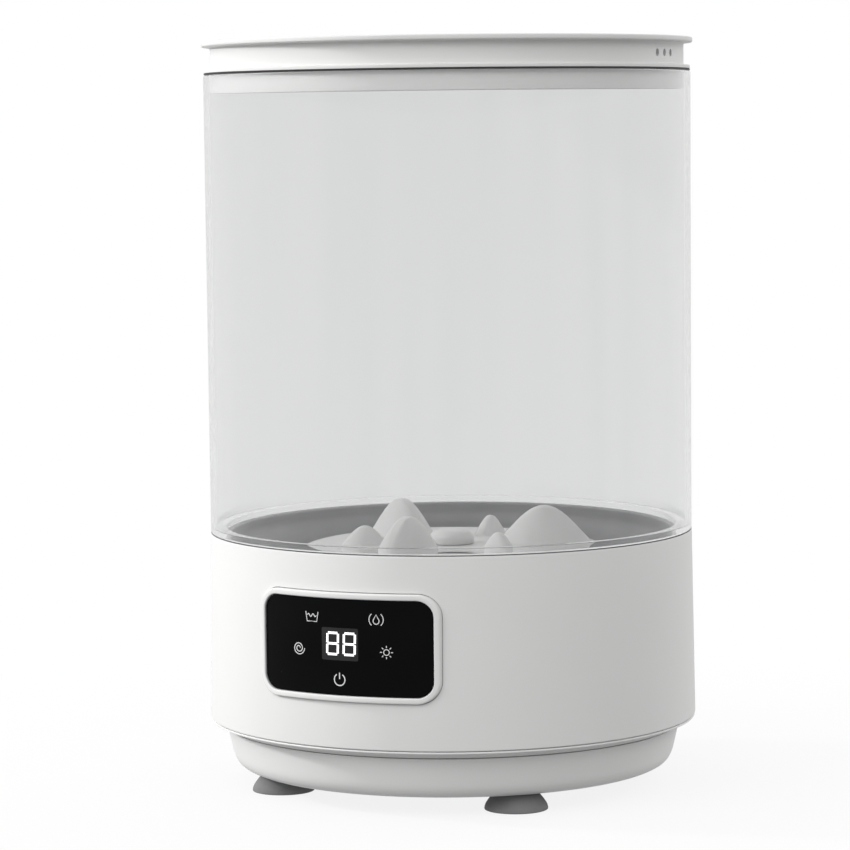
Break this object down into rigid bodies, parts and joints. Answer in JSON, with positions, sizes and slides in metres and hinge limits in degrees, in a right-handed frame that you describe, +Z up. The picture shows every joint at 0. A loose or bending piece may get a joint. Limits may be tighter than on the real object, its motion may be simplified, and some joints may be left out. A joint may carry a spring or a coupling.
{
  "type": "portable mini washer",
  "caption": "Small countertop clothes washer: clear round barrel on a white drive base with touch panel, pulsator in a steel bowl, lift-off lid and rubber feet.",
  "frame": {"origin": "on the barrel's axis, at the floor that the feet stand on", "axes": "+Z up along the barrel's axis, the control panel faces -Y, the lid's vents are on the +X side"},
  "size_m": [0.2492, 0.2533, 0.38],
  "materials": {
    "white_abs": "satin moulded",
    "clear_barrel": "clear polished",
    "stainless": "satin",
    "zinc_steel": "zinc plated",
    "cast_aluminium": "as cast",
    "dark_rubber": "matt",
    "black_glass": "polished",
    "black_plastic": "moulded",
    "circuit_board": "solder mask",
    "wound_copper": "enamelled wire",
    "acetal": "moulded",
    "belt": "extruded",
    "hose": "extruded",
    "wire": "extruded"
  },
  "bodies": {
    "base": {"base_pan": "white_abs", "trim_ring": "white_abs", "housing": "white_abs", "panel_frame": "white_abs", "drain_spout": "white_abs", "tub": "clear_barrel", "wash_bowl": "stainless", "frame_screw_1": "stainless", "frame_screw_2": "stainless", "frame_screw_3": "stainless", "frame_screw_4": "stainless", "case_screw_1": "zinc_steel", "case_screw_2": "zinc_steel", "case_screw_3": "zinc_steel", "case_screw_4": "zinc_steel", "upper_bearing": "zinc_steel", "lower_bearing": "zinc_steel", "motor_can": "zinc_steel", "motor_end_cap": "zinc_steel", "motor_screw_1": "zinc_steel", "motor_screw_2": "zinc_steel", "jack_nut": "zinc_steel", "drive_frame": "cast_aluminium", "foot_front_left": "dark_rubber", "foot_front_right": "dark_rubber", "foot_rear_left": "dark_rubber", "foot_rear_right": "dark_rubber", "tub_seal": "dark_rubber", "shaft_seal": "dark_rubber", "panel_glass": "black_glass", "digit_module": "black_plastic", "power_jack": "black_plastic", "board_capacitor": "black_plastic", "display_board": "circuit_board", "control_board": "circuit_board", "motor_stator": "wound_copper", "drive_belt": "belt", "drain_hose": "hose", "motor_lead": "wire", "power_lead": "wire", "display_lead": "wire"},
    "lid": {"lid_cover": "white_abs", "lid_liner": "white_abs", "lid_seal": "dark_rubber", "lid_screw_1": "zinc_steel", "lid_screw_2": "zinc_steel", "lid_screw_3": "zinc_steel", "lid_screw_4": "zinc_steel"},
    "pulsator_drive": {"pulsator": "white_abs", "pulsator_cap": "white_abs", "pulsator_screw": "zinc_steel", "drive_shaft": "stainless", "drive_pulley": "acetal", "pulley_nut": "zinc_steel"},
    "motor_drive": {"motor_shaft": "stainless", "motor_rotor": "zinc_steel", "motor_pulley": "acetal"},
    "bung": {"drain_bung": "dark_rubber"}
  },
  "joints": [
    {"name": "lid_lift", "type": "slide", "parent": "base", "child": "lid", "axis": [0, 0, 1], "range_m": [0, 0.2]},
    {"name": "pulsator_spin", "type": "hinge", "parent": "base", "child": "pulsator_drive", "pos_m": [0, 0, 0.1], "axis": [0, 0, 1], "continuous": true},
    {"name": "motor_spin", "type": "hinge", "parent": "base", "child": "motor_drive", "pos_m": [0.06, 0, 0.07], "axis": [0, 0, 1], "continuous": true},
    {"name": "bung_pull", "type": "slide", "parent": "base", "child": "bung", "axis": [0, 1, 0], "range_m": [0, 0.03]}
  ],
  "couplings": [
    {"joint": "motor_spin", "follows": "pulsator_spin", "ratio": 4}
  ]
}
